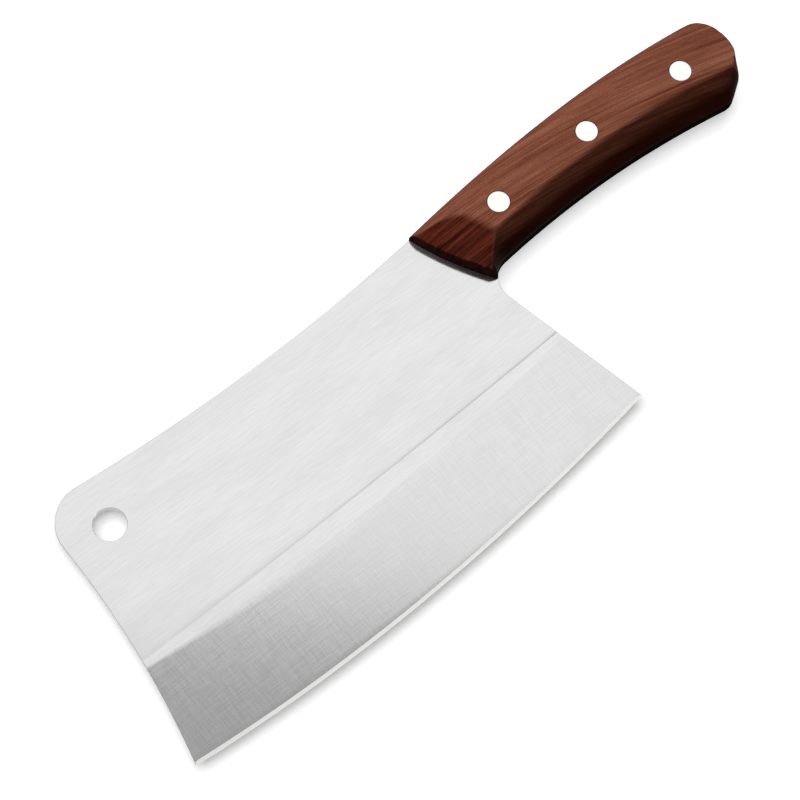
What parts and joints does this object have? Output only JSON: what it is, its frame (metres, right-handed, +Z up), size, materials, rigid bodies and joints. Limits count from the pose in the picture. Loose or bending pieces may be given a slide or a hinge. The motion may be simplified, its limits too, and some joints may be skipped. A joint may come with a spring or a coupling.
{
  "type": "chopping knife",
  "caption": "Full-tang steel chopping knife with a broad hollow-shouldered blade, a hanging hole near the tip and riveted dark hardwood scales.",
  "frame": {"origin": "middle of the knife's outline, on the surface that its side lies on", "axes": "+X along the knife from the tip to the butt, +Y from the cutting edge to the spine, +Z up from the side it lies on"},
  "size_m": [0.293, 0.1068, 0.02],
  "materials": {
    "blade_steel": "stainless steel, flanks brushed along the blade, bevels ground across it",
    "scale_wood": "dark red-brown hardwood with lengthwise grain, smoothed and oiled to a satin sheen",
    "rivet_steel": "bright steel, ground flush and polished"
  },
  "bodies": {
    "root": {"blade": "blade_steel", "upper_scale": "scale_wood", "lower_scale": "scale_wood", "rivet_pin_front": "rivet_steel", "rivet_tube_front": "rivet_steel", "rivet_pin_middle": "rivet_steel", "rivet_tube_middle": "rivet_steel", "rivet_pin_rear": "rivet_steel", "rivet_tube_rear": "rivet_steel"}
  },
  "joints": []
}
